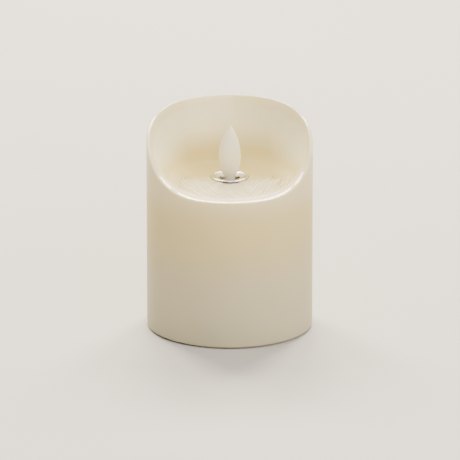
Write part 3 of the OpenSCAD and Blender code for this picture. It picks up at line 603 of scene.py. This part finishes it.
def enamelled_copper():
    """Copper wire in layers: each turn is a ring, and the enamel keeps it glossy.  The wire is drawn
    thicker than it is so that its turns show."""
    material, place = start_material("enamelled_copper")
    turns = add(material, "TexWave", {"Vector": place, "Scale": 1 / (1.43 * MM), "bands_direction": "Z"})
    # Dark in the groove between turns and copper on their crowns: painted shade between the turns.
    tone = add(material, "ValToRGB", {
        "Fac": turns.outputs[0], "stops": [(0.2, "#7c3e1d"), (0.8, "#c9814a")]})
    skin = add(material, "Bump", {"Height": turns.outputs[0], "Strength": 0.5, "Distance": 0.05 * MM})
    return end_material(material, {
        "Base Color": tone.outputs[0], "Metallic": 1.0, "Roughness": 0.28, "Normal": skin.outputs[0]})


paint(solder_mask(), "control_board")
paint(grained_plastic("black_resin", "#17171a", 0.8, 0.2), "control_chip")
paint(grained_plastic("black_epoxy", "#1e1e20", 0.3, 0.45), "drive_transistors")
paint(grained_plastic("blue_sleeve", "#2c3757", 0.8, 0.25), "board_capacitor")
paint(worked_metal("bright_can", "#c8cacd", 0.2, (0.67, 0.67, 5)), "timer_crystal")
paint(resistor_lacquer(), "board_resistors")
paint(zinc_plate, "board_screws")
paint(grained_plastic("natural_nylon", "#e6e3da", 0.4), "coil_bobbin")
paint(enamelled_copper(), "drive_coil", "coil_leads")


# ---- Base: chassis, bottom cover and battery door ----
# Moulded ivory plastic with a fine grain.  The cover is screwed up into the chassis, and the door turns
# on pins at its right edge and snaps shut with the tongue at its left.
def eased(node, name, width, segments=2):
    """A CAD node's shape, merged, with its edges broken as a mould or a press leaves them."""
    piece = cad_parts[node].copy()
    piece.data = piece.data.copy()
    piece.parent = None
    piece.matrix_world.identity()
    piece.name = piece.data.name = name
    for key in list(piece.keys()):
        del piece[key]
    bpy.context.scene.collection.objects.link(piece)
    bpy.ops.object.select_all(action="DESELECT")
    piece.select_set(True)
    bpy.context.view_layer.objects.active = piece
    bpy.ops.object.mode_set(mode="EDIT")
    bpy.ops.mesh.select_all(action="SELECT")
    bpy.ops.mesh.remove_doubles(threshold=0.002 * MM)
    bpy.ops.mesh.dissolve_limited(angle_limit=radians(1))
    bpy.ops.object.mode_set(mode="OBJECT")
    ease = piece.modifiers.new("eased", "BEVEL")
    ease.width = width
    ease.segments = segments
    ease.limit_method = "ANGLE"
    ease.angle_limit = radians(40)
    ease.use_clamp_overlap = True
    bpy.ops.object.modifier_apply(modifier="eased")
    return piece


base_plastic = grained_plastic("ivory_abs", "#e6e2d6", 0.5)
paint(base_plastic, "base_chassis")
cover = eased("base_cover", "bottom_cover", 0.25 * MM)
finish_piece(cover, base_plastic, "base_plastic", "candle", "base_cover")
door = eased("battery_door", "battery_lid", 0.25 * MM)
finish_piece(door, base_plastic, "base_plastic", "door", "battery_door")
paint(zinc_plate, "base_screws")


# ---- Rubber feet ----
# Four moulded, slightly translucent grey feet are pressed into round pockets of the cover, and a
# shallow dish in each foot grips the table.
def foot_rubber():
    """Translucent grey rubber: matte, with dust that clings to it."""
    material, place = start_material("foot_rubber")
    dust = add(material, "TexNoise", {"Vector": place, "Scale": 1 / (1.43 * MM), "Detail": 3.0})
    tone = add(material, "ValToRGB", {
        "Fac": dust.outputs[0], "stops": [(0.35, "#9b9a96"), (0.7, "#aeaca7")]})
    return end_material(material, {
        "Base Color": tone.outputs[0], "Roughness": 0.7, "Subsurface Weight": 0.2,
        "Subsurface Scale": 1 * MM})


feet = eased("rubber_feet", "round_feet", 0.3 * MM, 3)
finish_piece(feet, foot_rubber(), "foot_rubber", "candle", "rubber_feet")


# ---- Cells and contacts ----
# Three AAA cells: a steel can in a printed sleeve that is shrunk over both shoulders, with a button at
# one end.  They lie between nickel-plated plates, with a coiled spring at each flat end.
def cell_sleeve(name, cell, button_left):
    """A plain dark sleeve with one copper band towards the button, and bare bright steel at the ends."""
    material, place = start_material(name)
    low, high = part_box(cell)
    button_end, flat_end = (low.x, high.x) if button_left else (high.x, low.x)
    along = add(material, "SeparateXYZ", {"Vector": place}).outputs["X"]
    share = add(material, "MapRange", {"Value": along, "From Min": button_end, "From Max": flat_end})
    tone = add(material, "ValToRGB", {"Fac": share.outputs[0], "stops": [
        (0.0, "#c9cbcd"), (0.036, "#c9cbcd"), (0.04, "#b07a44"), (0.25, "#b07a44"), (0.255, "#2f3944"),
        (0.985, "#2f3944"), (0.99, "#c9cbcd")]})
    bare = add(material, "ValToRGB", {"Fac": share.outputs[0], "stops": [
        (0.036, "#ffffff"), (0.04, "#505050"), (0.985, "#505050"), (0.99, "#ffffff")]})
    scuff = add(material, "TexNoise", {"Vector": place, "Scale": 1 / (1.67 * MM), "Detail": 4.0})
    rough = add(material, "MapRange", {"Value": scuff.outputs[0], "To Min": 0.22, "To Max": 0.4})
    return end_material(material, {
        "Base Color": tone.outputs[0], "Metallic": bare.outputs[0], "Roughness": rough.outputs[0]})


paint(cell_sleeve("sleeve_button_left", "battery_front", True), "battery_front", "battery_rear")
paint(cell_sleeve("sleeve_button_right", "battery_middle", False), "battery_middle")
paint(
    worked_metal("nickel_plated_strip", "#c9cacb", 0.24, (0.5, 6.7, 6.7)),
    "positive_terminal", "negative_terminal", "left_bridge_plate", "right_bridge_plate",
)
paint(worked_metal("nickel_plated_spring", "#cccdce", 0.2, (0.83, 0.83, 0.83)), "contact_springs")
paint(wire_insulation("red_insulation", "#b3392f"), "wire_red")
paint(wire_insulation("black_insulation", "#232325"), "wire_black")


# ---- Slide switch ----
# A pressed steel frame and a black moulded body are screwed into the cover's pocket.  The knob slides
# between off and on, and yellow wires lead up to the board.
switch_black = grained_plastic("black_nylon", "#1f1f21", 0.3, 0.4)
paint(worked_metal("pressed_steel", "#a6a9ac", 0.3, (6.7, 0.5, 0.5)), "switch_frame")
paint(switch_black, "switch_body")
knob = eased("switch_knob", "slide_knob", 0.2 * MM)
finish_piece(knob, switch_black, "switch_plastic", "knob", "switch_knob")
paint(zinc_plate, "switch_screws")
paint(wire_insulation("yellow_insulation", "#cdb445"), "switch_wires")


# ---- Last update of the scene ----
bpy.context.view_layer.update()
